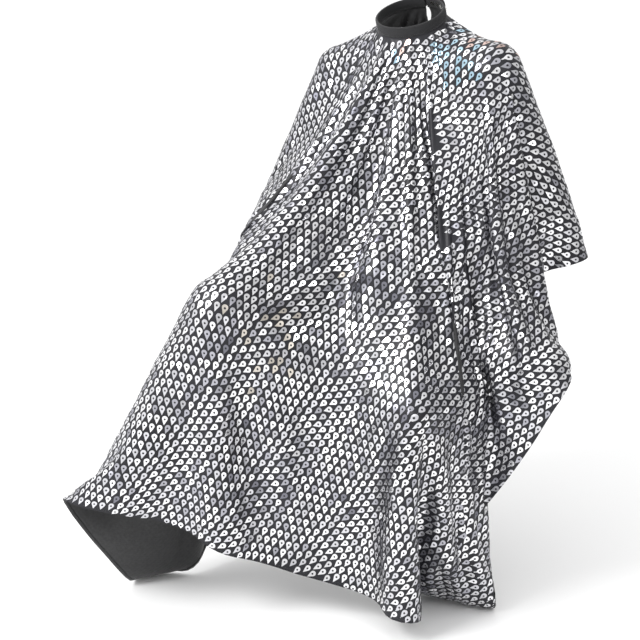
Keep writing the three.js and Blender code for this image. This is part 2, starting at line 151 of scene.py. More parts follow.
def clear_form(p):
    """Moves points to the outside of the wearer, the chair and the floor; says which ones touch."""
    touched = np.zeros(len(p), bool)
    for a, b, (ra, rb) in zip(limb_a, limb_b, limb_r):
        u = b - a
        t = np.clip((p - a) @ u / (u @ u), 0, 1)
        centre = a + t[:, None] * u
        reach = ra + (rb - ra) * t + SKIN_GAP
        d = p - centre
        far = np.sqrt((d * d).sum(1))
        m = (far < reach) & (far > 1e-9)
        p[m] = centre[m] + d[m] * (reach[m] / far[m])[:, None]
        touched |= m
    for centre, half, radius in chair:
        centre, half, reach = np.array(centre), np.array(half), radius + SKIN_GAP
        rel = p - centre
        near = np.clip(rel, -half, half)
        d = rel - near
        far = np.sqrt((d * d).sum(1))
        m = (far < reach) & (far > 1e-9)
        p[m] = (centre + near)[m] + d[m] * (reach / far[m])[:, None]
        touched |= m
        m = np.flatnonzero(far <= 1e-9)
        k = np.argmin(half - np.abs(rel[m]), 1)
        rel[m, k] = np.sign(rel[m, k]) * (half[k] + reach)
        p[m] = rel[m] + centre
        touched[m] = True
    low = p[:, 2] < FLOOR + SKIN_GAP / 2
    p[low, 2] = FLOOR + SKIN_GAP / 2
    return touched | low


across = np.array([math.cos(CAPE_TURN), -math.sin(CAPE_TURN), 0])


def keep_slit_open(p, scale):
    """Keeps the two sides of the back slit on their own side of the spine."""
    n = SIDES[0] * scale
    for q, side in ((p[:, : n + 1], -1), (p[:, -n - 1 :], 1)):
        x = (q @ across) * side
        m = (x < SLIT_GAP / 2) & (q[..., 1] > 0)
        q += np.where(m, side * (SLIT_GAP / 2 - x), 0)[..., None] * across


def threads(flat, bend):
    """Groups of point pairs that don't share a point, each with its rest length and stiffness. Row 0 is
    held by the collar."""
    last_row, last_col = flat.shape[0] - 1, flat.shape[1] - 1
    groups = []

    def tie(a, b, stiff, wa=0.5, wb=0.5):
        groups.append((a, b, np.sqrt(((flat[a] - flat[b]) ** 2).sum(-1)), stiff, wa, wb))

    def down(step, ca, cb, stiff):
        tie((0, ca), (step, cb), stiff, 0, 1)
        for p in range(1, 1 + 2 * step):
            i = np.arange(p, last_row + 1 - step, 2 * step)
            if len(i):
                upper, lower = slice(p, i[-1] + 1, 2 * step), slice(p + step, i[-1] + step + 1, 2 * step)
                tie((upper, ca), (lower, cb), stiff)

    def along(step, stiff):
        rows = slice(1, None)
        for p in range(2 * step):
            j = np.arange(p, last_col + 1 - step, 2 * step)
            if len(j):
                here, next_to = slice(p, j[-1] + 1, 2 * step), slice(p + step, j[-1] + step + 1, 2 * step)
                tie((rows, here), (rows, next_to), stiff)

    every = slice(None)
    along(1, 1)
    down(1, every, every, 1)
    down(1, slice(0, last_col), slice(1, last_col + 1), SHEAR)
    down(1, slice(1, last_col + 1), slice(0, last_col), SHEAR)
    down(2, every, every, bend)
    along(2, bend)
    return groups


NEIGHBOURS = 3          # points this near in the weave don't push each other


def keep_layers_apart(cloth, reach):
    """Pushes apart points of the cloth that lie closer than reach without being neighbours in the weave."""
    q = cloth.reshape(-1, 3)
    n = len(q)
    cell = np.floor((q - q.min(0)) / reach).astype(np.int64) + 1
    size = cell.max(0) + 2
    key = (cell[:, 0] * size[1] + cell[:, 1]) * size[2] + cell[:, 2]
    order = np.argsort(key, kind="stable")
    key = key[order]
    row, col = np.divmod(np.arange(n), cloth.shape[1])
    move = np.zeros_like(q)
    near = range(-1, 2)
    for offset in sorted({(a * size[1] + b) * size[2] + c for a in near for b in near for c in near}):
        if offset < 0:
            continue
        low = np.searchsorted(key, key + offset, "left")
        count = np.searchsorted(key, key + offset, "right") - low
        total = count.sum()
        if not total:
            continue
        a = np.repeat(np.arange(n), count)
        b = np.arange(total) - np.repeat(np.cumsum(count) - count, count) + np.repeat(low, count)
        if offset == 0:
            m = a < b
            a, b = a[m], b[m]
        a, b = order[a], order[b]
        m = (np.abs(row[a] - row[b]) > NEIGHBOURS) | (np.abs(col[a] - col[b]) > NEIGHBOURS)
        a, b = a[m], b[m]
        d = q[b] - q[a]
        far = np.sqrt((d * d).sum(1))
        m = far < reach
        a, b, push = a[m], b[m], d[m] * (0.5 * (reach - far[m]) / np.maximum(far[m], 1e-6))[:, None]
        for x in range(3):
            move[:, x] += np.bincount(b, push[:, x], n) - np.bincount(a, push[:, x], n)
    far = np.sqrt((move * move).sum(1))
    move *= np.minimum(1, 0.5 * reach / np.maximum(far, 1e-9))[:, None]
    move = move.reshape(cloth.shape)
    move[0] = 0
    cloth += move


def settle(cloth, flat, scale, steps, passes, fall, bend, reach, every):
    before = cloth.copy()
    groups = threads(flat, bend)
    for step in range(steps):
        speed = (cloth[1:] - before[1:]) * KEEP_SPEED
        before[1:] = cloth[1:]
        cloth[1:] += speed
        cloth[1:, :, 2] -= fall
        for _ in range(passes):
            for a, b, rest, stiff, wa, wb in groups:
                d = cloth[b] - cloth[a]
                long = np.sqrt((d * d).sum(-1))
                d *= (stiff * (long - rest) / np.maximum(long, 1e-9))[..., None]
                if wa:
                    cloth[a] += wa * d
                cloth[b] -= wb * d
        if step % every == 0:
            keep_layers_apart(cloth, reach)
        keep_slit_open(cloth[1:], scale)
        q = cloth[1:].reshape(-1, 3)
        touched = clear_form(q)
        cloth[1:] = q.reshape(cloth[1:].shape)
        old = before[1:].reshape(-1, 3)
        old[touched] += (q[touched] - old[touched]) * CLING
        before[1:] = old.reshape(cloth[1:].shape)
    return cloth


def neck_stations(cols):
    """Where the columns of the cloth meet the collar, along it."""
    ends = NAPE_GAP / 2 + MM
    return np.linspace(ends, BAND_LENGTH - ends, cols + 1)


BELOW_BAND = 2 * MM             # where the free cloth starts, under the band's lower edge
START_LIFT_REACH = 0.12         # the cloth starts as a flat sheet that rises over this distance from the neck
START_SIZE = 0.98               # of its flat size


def drape(levels):
    cloth = None
    for scale, *rest in levels:
        rows, cols = ROWS * scale, sum(SIDES) * scale
        flat = flat_cape(rows, cols)
        ring = on_collar(neck_stations(cols), CLOTH_SEAT, -BAND_HEIGHT / 2 - BELOW_BAND)
        if cloth is None:
            d = flat - flat[:1]
            c, s = math.cos(CAPE_TURN), math.sin(CAPE_TURN)
            lift = np.minimum(np.hypot(d[..., 0], d[..., 1]), START_LIFT_REACH) / 2
            turned = (d[..., 0] * c - d[..., 1] * s, -d[..., 1] * c - d[..., 0] * s)
            cloth = ring[None] + np.stack([START_SIZE * turned[0], START_SIZE * turned[1], lift], -1)
        else:
            finer = np.zeros((rows + 1, cols + 1, 3))
            finer[::2, ::2] = cloth
            finer[1::2, ::2] = (cloth[1:] + cloth[:-1]) / 2
            finer[:, 1::2] = (finer[:, 2::2] + finer[:, :-2:2]) / 2
            cloth = finer
            cloth[0] = ring
        cloth = settle(cloth, flat, scale, *rest)
    return cloth


def resampled(grid, rows, cols):
    """The grid with that many rows and columns of quads, on cubic curves through its points."""
    for axis, count in ((0, rows), (1, cols)):
        g = np.moveaxis(grid, axis, 0)
        n = len(g) - 1
        t = np.linspace(0, n, count + 1)
        k = np.minimum(t.astype(int), n - 1)
        f = (t - k)[:, None, None]
        p0, p1, p2, p3 = (g[np.clip(k + o, 0, n)] for o in (-1, 0, 1, 2))
        p0 = np.where((k == 0)[:, None, None], 2 * p1 - p2, p0)
        p3 = np.where((k == n - 1)[:, None, None], 2 * p2 - p1, p3)
        square, cube = 2 * p0 - 5 * p1 + 4 * p2 - p3, 3 * (p1 - p2) + p3 - p0
        g = 0.5 * (2 * p1 + (p2 - p0) * f + square * f ** 2 + cube * f ** 3)
        grid = np.moveaxis(g, 0, axis)
    return grid


def grid_normals(grid):
    down, along = np.gradient(grid, axis=0), np.gradient(grid, axis=1)
    n = np.cross(down, along)
    return n / np.maximum(np.linalg.norm(n, axis=-1, keepdims=True), 1e-12)


# ---- Mesh helpers ----
def mesh_object(name, points, faces, materials, slots=None, smooth=True, normals=None, uv=None):
    me = bpy.data.meshes.new(name)
    vertices = [tuple(p) for p in np.asarray(points, float)]
    me.from_pydata(vertices, [], [tuple(int(v) for v in f) for f in faces])
    for m in materials:
        me.materials.append(m)
    if slots is not None:
        me.polygons.foreach_set("material_index", np.asarray(slots, np.int32))
    me.polygons.foreach_set("use_smooth", np.full(len(me.polygons), smooth))
    if uv is not None:
        layer = me.uv_layers.new(name="flat")
        vertex = np.zeros(len(me.loops), np.int32)
        me.loops.foreach_get("vertex_index", vertex)
        layer.data.foreach_set("uv", np.asarray(uv, np.float32)[vertex].ravel())
    me.update()
    if normals is not None:
        me.normals_split_custom_set_from_vertices([tuple(n) for n in normals])
    o = bpy.data.objects.new(name, me)
    bpy.context.scene.collection.objects.link(o)
    return o


def sheet_shell(grid, normals, thickness):
    """Closed sheet round a grid of points: points, faces, and 0 for an outer face, 1 inner, 2 cut edge."""
    n, m = grid.shape[:2]
    half = normals * thickness / 2
    points = np.concatenate([(grid + half).reshape(-1, 3), (grid - half).reshape(-1, 3)])
    at = np.arange(n * m).reshape(n, m)
    under = at + n * m
    a, b, c, d = at[:-1, :-1], at[1:, :-1], at[1:, 1:], at[:-1, 1:]
    outer = np.stack([a, b, c, d], -1).reshape(-1, 4)
    inner = np.stack([a, d, c, b], -1).reshape(-1, 4) + n * m
    rims = []
    onward, reverse = slice(None), slice(None, None, -1)
    for line in ((0, onward), (-1, reverse), (reverse, 0), (onward, -1)):
        top, low = at[line], under[line]
        rims.append(np.stack([top[:-1], top[1:], low[1:], low[:-1]], -1))
    rims = np.concatenate(rims)
    faces = np.concatenate([outer, inner, rims])
    kind = np.repeat([0, 1, 2], [len(outer), len(inner), len(rims)])
    return points, faces, kind


def swept(place, section, stations, closed_ends=True):
    """Section points carried through the stations; place(station, out, up) gives points."""
    m = len(section)
    out, up = np.array(section).T
    points = np.concatenate([place(np.full(m, s), out, up) for s in stations])
    faces = []
    for i in range(len(stations) - 1):
        for k in range(m):
            a, b = i * m + k, i * m + (k + 1) % m
            faces.append((a, a + m, b + m, b))
    if closed_ends:
        last = (len(stations) - 1) * m
        faces.append(tuple(range(m)))
        faces.append(tuple(last + k for k in reversed(range(m))))
    return points, faces


# ---- Materials ----
def material(name, color, roughness, metallic=0.0, **sockets):
    m = bpy.data.materials.new(name)
    m.use_nodes = True
    b = m.node_tree.nodes["Principled BSDF"]
    b.inputs["Base Color"].default_value = (*color, 1)
    b.inputs["Roughness"].default_value = roughness
    b.inputs["Metallic"].default_value = metallic
    for key, value in sockets.items():
        b.inputs[key.replace("_", " ")].default_value = value
    return m


def node(m, kind, **settings):
    n = m.node_tree.nodes.new(kind)
    for key, value in settings.items():
        if key in n.inputs.keys() or key.replace("_", " ") in n.inputs.keys():
            n.inputs[key.replace("_", " ")].default_value = value
        else:
            setattr(n, key, value)
    return n


def link(m, a, b):
    m.node_tree.links.new(a, b)


def ramped(m, value, stops):
    r = node(m, "ShaderNodeValToRGB")
    r.color_ramp.elements[0].position, r.color_ramp.elements[0].color = stops[0][0], (*stops[0][1], 1)
    r.color_ramp.elements[1].position, r.color_ramp.elements[1].color = stops[1][0], (*stops[1][1], 1)
    link(m, value, r.inputs["Fac"])
    return r.outputs["Color"]


def bumped(m, height, strength, distance):
    b = node(m, "ShaderNodeBump", Strength=strength, Distance=distance)
    link(m, height, b.inputs["Height"])
    link(m, b.outputs["Normal"], m.node_tree.nodes["Principled BSDF"].inputs["Normal"])


WAVES_PER_SCALE = 20            # bands of the wave texture in a unit, for a scale of 1


def weave(m, threads_per_metre, coordinate="flat"):
    """Height of a plain weave in flat cloth coordinates."""
    uv = node(m, "ShaderNodeUVMap", uv_map=coordinate)
    waves = []
    for direction in ("X", "Y"):
        w = node(m, "ShaderNodeTexWave", wave_type="BANDS", bands_direction=direction,
                 Scale=threads_per_metre / WAVES_PER_SCALE)
        link(m, uv.outputs["UV"], w.inputs["Vector"])
        waves.append(w.outputs["Fac"])
    mix = node(m, "ShaderNodeMath", operation="MULTIPLY")
    link(m, waves[0], mix.inputs[0])
    link(m, waves[1], mix.inputs[1])
    return mix.outputs["Value"]


def noise(m, scale, detail=2.0, source="Object"):
    t = node(m, "ShaderNodeTexCoord")
    n = node(m, "ShaderNodeTexNoise", Scale=scale, Detail=detail)
    link(m, t.outputs[source], n.inputs["Vector"])
    return n.outputs["Fac"]


def shaded(m, value, dark, light, socket="Base Color"):
    """Drives a socket by a value, from one (position, colour) to another."""
    link(m, ramped(m, value, [dark, light]), m.node_tree.nodes["Principled BSDF"].inputs[socket])


satin = material("satin_ground", (0.013, 0.013, 0.016), 0.44, Specular_IOR_Level=0.30)
shaded(satin, noise(satin, 9, 4), (0.35, (0.009, 0.009, 0.012)), (0.68, (0.018, 0.018, 0.023)))
bumped(satin, weave(satin, 1400), 0.25, 0.0003)
lining = material("black_reverse", (0.010, 0.010, 0.011), 0.62, Sheen_Weight=0.15)
shaded(lining, noise(lining, 160, 3), (0.3, (0.006, 0.006, 0.007)), (0.7, (0.016, 0.016, 0.017)))
bumped(lining, weave(lining, 900), 0.35, 0.0004)

# foil_bright, foil_silver, foil_grey and foil_dim are lit and shaded copies of one silver foil: painted sheen
# and painted shade, mixed with random tone.
# name: colour, roughness, metalness
FOILS = {
    "foil_bright": ((0.82, 0.82, 0.84), 0.26, 0.90),
    "foil_silver": ((0.60, 0.60, 0.63), 0.28, 0.90),
    "foil_grey": ((0.38, 0.38, 0.42), 0.30, 0.90),
    "foil_dim": ((0.18, 0.18, 0.21), 0.36, 0.85),
    "foil_blue": ((0.40, 0.56, 0.66), 0.28, 0.90),
    "foil_peach": ((0.70, 0.52, 0.47), 0.28, 0.90),
    "foil_beige": ((0.58, 0.54, 0.49), 0.30, 0.90),
}
foils = [material(name, color, rough, metal) for name, (color, rough, metal) in FOILS.items()]

knit = material("rib_knit", (0.010, 0.010, 0.011), 0.85, Sheen_Weight=0.10)
shaded(knit, noise(knit, 900, 3), (0.3, (0.005, 0.005, 0.006)), (0.7, (0.018, 0.018, 0.020)))
bumped(knit, noise(knit, 1400, 2), 0.4, 0.0003)
thread = material("thread", (0.030, 0.030, 0.033), 0.6, Sheen_Weight=0.3)
bumped(thread, noise(thread, 3000, 1), 0.3, 0.0002)
nickel = material("nickel", (0.62, 0.61, 0.58), 0.22, 1.0)
shaded(nickel, noise(nickel, 700, 2), (0.3, (0.16,) * 3), (0.75, (0.34,) * 3), "Roughness")
enamel = material("black_enamel", (0.014, 0.014, 0.015), 0.22, Coat_Weight=0.5)
bumped(enamel, noise(enamel, 500, 2), 0.15, 0.0002)
elastic = material("woven_elastic", (0.03, 0.03, 0.032), 0.8)
bumped(elastic, noise(elastic, 1200, 2), 0.5, 0.0003)

# ---- Cloth ----
levels = LEVELS
cloth = drape(levels)
VIS_ROWS, VIS_COLS = 138, 352
CLOTH_THICKNESS = 0.5 * MM
flat = flat_cape(VIS_ROWS, VIS_COLS)
surface = resampled(cloth, VIS_ROWS, VIS_COLS)

# The printed satin is too stiff for ripples much narrower than a drop, which the crowded columns near the
# collar would allow.
STIFF_PITCH, STIFF_ROUNDS = 3 * MM, 30
column_pitch = np.linalg.norm(np.gradient(flat, axis=1), axis=-1)
ease = 0.5 * np.clip(1 - column_pitch / STIFF_PITCH, 0, 1)[..., None]
for _ in range(STIFF_ROUNDS):
    surface[1:, 1:-1] += ease[1:, 1:-1] * ((surface[1:, :-2] + surface[1:, 2:]) / 2 - surface[1:, 1:-1])

# Fine folds: gathers that fan out of the collar, and soft wrinkles all over.
GATHERS, GATHER_HEIGHTS = (13, 19, 29, 37), (1.3 * MM, 1.2 * MM, 0.9 * MM, 0.5 * MM)
GATHERS_FROM, GATHERS_TO = 0.018, 0.11          # distances from the collar over which they rise and fade
WRINKLES = (0.20, 0.045, 12)                    # longest and shortest wave, how many
WRINKLE_HEIGHT, WRINKLE_PATCHES, WRINKLES_FROM, DEEPEST_WRINKLE = 0.006, 9, 0.1, 1.5 * MM
normals = grid_normals(surface)
from_collar = np.linalg.norm(flat - flat[:1], axis=-1)
turn_at = np.linspace(0, 2 * math.pi, VIS_COLS + 1)
starts_at = rng.uniform(0, 6.28, 4)
gathers = sum(a * np.sin(k * turn_at + f) for k, a, f in zip(GATHERS, GATHER_HEIGHTS, starts_at))
fade = np.clip(from_collar / GATHERS_FROM, 0, 1) * np.exp(-((from_collar / GATHERS_TO) ** 1.5))


def along_heading(heading):
    return flat[..., 0] * math.cos(heading) + flat[..., 1] * math.sin(heading)


wrinkles = np.zeros(from_collar.shape)
for wave in np.geomspace(*WRINKLES):
    heading, phase = rng.uniform(0, math.pi), rng.uniform(0, 2 * math.pi)
    slow = 0.5 + 0.5 * np.sin(WRINKLE_PATCHES * along_heading(heading + 1) + phase * 3)
    wrinkles += wave * WRINKLE_HEIGHT * slow * np.sin(2 * math.pi / wave * along_heading(heading) + phase)
lift = gathers[None] * fade + wrinkles * np.clip(from_collar / WRINKLES_FROM, 0, 1)
surface = surface + normals * np.maximum(lift, -DEEPEST_WRINKLE)[..., None]
keep_slit_open(surface[1:], VIS_COLS // sum(SIDES))

# The neck edge runs up into the folded band.
neck_edge = on_collar(neck_stations(VIS_COLS), CLOTH_SEAT, -BAND_HEIGHT / 2 + CLOTH_TUCK)
surface_in_band = np.concatenate([neck_edge[None], surface])
flat_in_band = np.concatenate([flat[:1] * 0.9, flat])
normals_in_band = grid_normals(surface_in_band)
points, faces, kind = sheet_shell(surface_in_band, normals_in_band, CLOTH_THICKNESS)
both = np.concatenate([normals_in_band.reshape(-1, 3), -normals_in_band.reshape(-1, 3)])
cape_cloth = mesh_object("cape_cloth", points, faces, [satin, lining], np.where(kind == 1, 1, 0),
                         normals=both, uv=np.tile(flat_in_band.reshape(-1, 2), (2, 1)))


def places(flat_points):
    """Row and column, as fractions, of flat points of the cape."""
    inner, edge = cape_edges(VIS_COLS)
    reach = edge - inner
    row, col = np.zeros(len(flat_points)), np.zeros(len(flat_points))
    for start in range(0, len(flat_points), 20000):
        p = flat_points[start : start + 20000]
        d = p[:, None] - inner[None]
        side = reach[None, :, 0] * d[..., 1] - reach[None, :, 1] * d[..., 0]
        ahead = (d * reach[None]).sum(-1) > 0
        crossing = (side[:, :-1] <= 0) & (side[:, 1:] > 0) & ahead[:, :-1]
        k = np.argmax(crossing, 1)
        pick = np.arange(len(p))
        a, b = side[pick, k], side[pick, k + 1]
        f = np.where(crossing.any(1), a / np.where(a == b, 1, a - b), np.nan)
        i = inner[k] + (inner[k + 1] - inner[k]) * f[:, None]
        e = edge[k] + (edge[k + 1] - edge[k]) * f[:, None]
        s = ((p - i) * (e - i)).sum(1) / ((e - i) ** 2).sum(1)
        row[start : start + 20000] = VIS_ROWS * np.clip(s, 0, 1) ** (1 / ROW_POWER)
        col[start : start + 20000] = k + f
    return row, col


def on_grid(grid, row, col):
    i = np.clip(row.astype(int), 0, grid.shape[0] - 2)
    j = np.clip(col.astype(int), 0, grid.shape[1] - 2)
    u, v = (row - i)[:, None], (col - j)[:, None]
    near_side = grid[i, j] * (1 - u) * (1 - v) + grid[i + 1, j] * u * (1 - v)
    return near_side + grid[i, j + 1] * (1 - u) * v + grid[i + 1, j + 1] * u * v


# ---- Print: foil drops in slanted bands, upright in the middle of a band and leaning between ----
DROP_PITCH, DROP_ROW = 14 * MM, 17.5 * MM
DROP_WIDTH, DROP_LENGTH, EYE = 10.4 * MM, 17.6 * MM, 2.0 * MM
BAND_PITCH, BAND_SLANT, BAND_SHIFT, LEAN = 0.165, math.radians(24), 0.8, math.radians(46)
PRINT_LIFT = 0.42 * MM
PLACE_SPREAD, ANGLE_SPREAD, SIZE_SPREAD = 0.35 * MM, 0.07, 0.03
OUTLINE, EYE_SIDES = 12, 6                     # points round a drop and round its eye

down_slant = np.array([math.cos(BAND_SLANT), math.sin(BAND_SLANT)])
along_band = np.array([math.sin(BAND_SLANT), -math.cos(BAND_SLANT)])
i, j = np.meshgrid(np.arange(-80, 81), np.arange(-70, 111), indexing="ij")
base = np.stack([(i + 0.5 * (j % 2)) * DROP_PITCH, j * DROP_ROW], -1).reshape(-1, 2)
phase = base @ down_slant / BAND_PITCH
lean = 0.5 - 0.5 * np.cos(2 * math.pi * phase)
shift = BAND_PITCH * BAND_SHIFT * (phase / 2 - np.sin(2 * math.pi * phase) / (4 * math.pi))
centres = base + shift[:, None] * along_band + rng.normal(0, PLACE_SPREAD, base.shape)
hole = BAND_LENGTH * GATHER / (2 * math.pi)
inside = (centres[:, 1] > -BACK_DROP) & (centres[:, 1] < FRONT_DROP)
inside &= (np.linalg.norm(centres, axis=1) > hole) & (np.abs(centres[:, 0]) < half_width(centres[:, 1]))
centres, lean = centres[inside], lean[inside]
angle = LEAN * lean ** 1.4 + rng.normal(0, ANGLE_SPREAD, len(lean))

head = DROP_WIDTH / 2
reach = DROP_LENGTH - head                     # head centre to the tail's tip
open_angle = math.asin(head / reach)
arc = np.linspace(-open_angle, math.pi + open_angle, OUTLINE - 1)
outline = np.concatenate([[[0, -reach]], np.stack([head * np.cos(arc), head * np.sin(arc)], 1)])
eye_turn = -math.pi / 2 + 2 * math.pi * np.arange(EYE_SIDES) / EYE_SIDES
eye = np.stack([EYE * np.cos(eye_turn), EYE * np.sin(eye_turn) - 0.25 * head], 1)
drop = np.concatenate([outline, eye]) + [0, (reach - head) / 2]
size = rng.normal(1, SIZE_SPREAD, len(centres))[:, None]
c, s = np.cos(angle)[:, None], np.sin(angle)[:, None]
# the head points to the neck, which is -y on the flat cape
x = (drop[:, 0] * c + drop[:, 1] * s) * size
y = (drop[:, 0] * s - drop[:, 1] * c) * size
spots = centres[:, None] + np.stack([x, y], -1)
spots[..., 1] = np.clip(spots[..., 1], -BACK_DROP, FRONT_DROP)
side = half_width(spots[..., 1])
spots[..., 0] = np.clip(spots[..., 0], -side, side)
_, col = places(spots.reshape(-1, 2))
col = col.reshape(len(centres), -1)
whole = np.isfinite(col).all(1) & (np.ptp(col, axis=1) < VIS_COLS / 2)      # not across the slit
centres, spots = centres[whole], spots[whole]
normals = grid_normals(surface)


def laid(spots):
    """Where each drop's flat points lie on the cape, and the normals there."""
    row, col = places(spots.reshape(-1, 2))
    n = on_grid(normals, row, col)
    n /= np.linalg.norm(n, axis=1, keepdims=True)
    p = on_grid(surface, row, col) + n * (CLOTH_THICKNESS / 2 + PRINT_LIFT)
    return p.reshape(len(spots), -1, 3), n.reshape(len(spots), -1, 3)


# A drop that a fold bends has a ring of points more, and one that the fold would crease is left out.
FLAT_SUNK, MOST_SUNK, FOLD_RISE = 0.40 * MM, 2.6 * MM, 0.15 * MM
drop_points, drop_normals = laid(spots)
around = np.arange(OUTLINE)
eye_near = OUTLINE + (around * EYE_SIDES // OUTLINE) % EYE_SIDES
gap_pairs = np.concatenate([np.stack([around, eye_near], 1), np.stack([around, np.roll(around, -1)], 1)])
mid_point, mid_normal = laid(spots[:, gap_pairs].mean(2))
sunk = ((mid_point - drop_points[:, gap_pairs].mean(2)) * mid_normal).sum(-1).max(1)
bent = (sunk > FLAT_SUNK) & (sunk < MOST_SUNK)
plain = sunk <= FLAT_SUNK
eye_ring = spots[:, OUTLINE:]
eye_ring = np.stack([eye_ring, (eye_ring + np.roll(eye_ring, -1, 1)) / 2], 2).reshape(len(spots), -1, 2)
fine_spots = np.concatenate([spots[:, :OUTLINE], (spots[:, :OUTLINE] + eye_ring) / 2, eye_ring], 1)[bent]
fine_points, fine_normals = laid(fine_spots)
fine_points += fine_normals * FOLD_RISE

# Strip between the outline and the eye: each outline side joins the eye point that faces it.
eye_of = [OUTLINE + int(round(k * EYE_SIDES / OUTLINE)) % EYE_SIDES for k in range(OUTLINE + 1)]
plain_faces = []
for k in range(OUTLINE):
    a, b, ea, eb = k, (k + 1) % OUTLINE, eye_of[k], eye_of[k + 1]
    plain_faces.append((a, b, eb, ea) if ea != eb else (a, b, ea))
fine_faces = []
for r in range(2):
    for k in range(OUTLINE):
        a, b = r * OUTLINE + k, r * OUTLINE + (k + 1) % OUTLINE
        fine_faces.append((a, b, b + OUTLINE, a + OUTLINE))

# Foil shade: bright and dim drops gather in patches that drift over the cape, painted sheen and painted shade
# mixed with random tone; the foil shows blue and peach near the collar.
# flat x and y, spread, share of the drops, foil
BLUE, PEACH, BEIGE = 4, 5, 6
TINTED = (
    (0.125, 0.045, 0.048, 0.80, BLUE), (0.0, 0.088, 0.024, 0.8, BLUE),
    (0.172, -0.022, 0.036, 0.7, PEACH), (0.034, 0.080, 0.020, 0.7, PEACH),
    (-0.040, 0.670, 0.070, 0.40, BEIGE),
)
n_drops = len(centres)
# Painted sheen and painted shade: slow waves over the cape push drops towards brighter or dimmer foils; the
# random part below is the foil's own tone.
painted_light_drift = sum(
    np.sin(centres @ np.array([math.cos(h), math.sin(h)]) * 2 * math.pi / w + f)
    for h, w, f in zip(rng.uniform(0, math.pi, 7), np.geomspace(0.5, 0.09, 7), rng.uniform(0, 6.28, 7))
) / 2.6
score = painted_light_drift * 0.5 + rng.normal(0, 0.7, n_drops)
shade = 3 - np.digitize(score, [-1.8, -0.85, 0.0])
for x, y, spread, chance, foil in TINTED:
    near = np.exp(-(((centres[:, 0] - x) ** 2 + (centres[:, 1] - y) ** 2) / spread ** 2))
    shade[rng.random(n_drops) < chance * near] = foil
glint = rng.normal(0, 0.10, (n_drops, 1, 3))


def foil_drops(name, points, normals, one_drop, which):
    n, m = points.shape[:2]
    faces = [tuple(v + k * m for v in f) for k in range(n) for f in one_drop]
    glossy = normals + glint[which]
    glossy /= np.linalg.norm(glossy, axis=-1, keepdims=True)
    slots = np.repeat(shade[which], len(one_drop))
    return mesh_object(name, points.reshape(-1, 3), faces, foils, slots, normals=glossy.reshape(-1, 3))


cape_print = foil_drops("cape_print", drop_points[plain], drop_normals[plain], plain_faces, plain)
fold_print = foil_drops("cape_print_on_folds", fine_points, fine_normals, fine_faces, bent)

for piece, slot_name in ((cape_cloth, "print"), (cape_print, "print"), (fold_print, "print")):
    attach(piece, "cape")
sectors = ("back_right", "right", "front", "left", "back_left")
cloth_nodes = [f"cloth_{band}_{sector}" for band in ("yoke", "body", "skirt") for sector in sectors]
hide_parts(*cloth_nodes)

# ---- Collar: a ribbed strip folded over the elastic ----
RIB, RIB_DEPTH = 2.0 * MM, 0.22 * MM
ribs = round(BAND_LENGTH / RIB)
half = BAND_HEIGHT / 2
t = BAND_THICKNESS


def band_place(s, out, up):
    """The collar's points, with the ribs standing proud of its inner and outer faces."""
    ridge = RIB_DEPTH * np.cos(2 * math.pi * s / RIB) * np.where(out > t / 2, 1, -1)
    return on_collar(s, out + ridge * np.clip((half - up) / (2 * MM), 0, 1), up)


fold_turn = np.linspace(0, math.pi, 7)
outer_r, inner_r = t / 2, t / 2 - BAND_WALL
section = [(t, -half), (t + 0.35 * MM, -half * 0.6), (t + 0.5 * MM, 0), (t + 0.3 * MM, half * 0.5)]
section += [(t / 2 + outer_r * math.cos(a), half - outer_r + outer_r * math.sin(a)) for a in fold_turn]
section += [(-0.1 * MM, 0), (0, -half), (BAND_WALL, -half)]
section += [(t / 2 - inner_r * math.cos(a), half - outer_r + inner_r * math.sin(a)) for a in fold_turn[::2]]
section += [(t - BAND_WALL, -half)]
stations = np.linspace(NAPE_GAP / 2, BAND_LENGTH - NAPE_GAP / 2, ribs * 4 + 1)
points, faces = swept(band_place, section, stations)
collar = mesh_object("collar_knit", points, faces, [knit])
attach(collar, "cape")
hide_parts("collar_band")

# ---- Stitches: short threads lying on a surface ----
def stitches(name, starts, ends, normals, width=0.42 * MM, height=0.32 * MM, lift=0.0):
    """One closed six-sided bar for each stitch, its ends tapering into the cloth."""
    along = ends - starts
    along /= np.linalg.norm(along, axis=1, keepdims=True)
    side = np.cross(normals, along)
    points, faces = [], []
    rings = ((0, 0.25, -0.6), (0.25, 1, 0), (0.75, 1, 0), (1, 0.25, -0.6))
    for t, fat, sink in rings:
        centre = starts + (ends - starts) * t + normals * (lift + sink * height)
        for turn in np.linspace(0, 2 * math.pi, 6)[:-1]:
            section = side * math.cos(turn) * width / 2 + normals * math.sin(turn) * height
            points.append(centre + fat * section)
    points = np.stack(points, 1).reshape(-1, 3)
    per = 5 * len(rings)
    for n in range(len(starts)):
        o = n * per
        for r in range(len(rings) - 1):
            for k in range(5):
                a, b = o + 5 * r + k, o + 5 * r + (k + 1) % 5
                faces.append((a, b, b + 5, a + 5))
        faces.append(tuple(o + k for k in reversed(range(5))))
        faces.append(tuple(o + 5 * (len(rings) - 1) + k for k in range(5)))
    return mesh_object(name, points, faces, [thread])


# ---- Hem: the cut edge turned to the reverse and sewn ----
HEM_WIDTH, HEM_THICKNESS, STITCH, STITCH_PITCH = 7 * MM, 0.55 * MM, 2.6 * MM, 3.8 * MM
corner = np.array([(0, -BACK_DROP), (-BACK_WIDTH / 2, -BACK_DROP),
                   (-CAPE_WIDTH / 2, WIDE_FROM), (-CAPE_WIDTH / 2, FRONT_DROP)])
outline_flat = np.concatenate([corner, (corner * [-1, 1])[::-1]])


def along_edge(inset, spacing):
    """Flat points at even spacing round the cape's edge, that far in from it."""
    centre = np.array([0, (FRONT_DROP - BACK_DROP) / 2])
    half_size = np.array([CAPE_WIDTH / 2, CAPE_LENGTH / 2])
    line = centre + (outline_flat - centre) * (1 - inset / half_size)
    length = np.concatenate([[0], np.cumsum(np.linalg.norm(np.diff(line, axis=0), axis=1))])
    t = np.arange(spacing, length[-1] - spacing, spacing)
    return np.stack([np.interp(t, length, line[:, k]) for k in (0, 1)], 1)


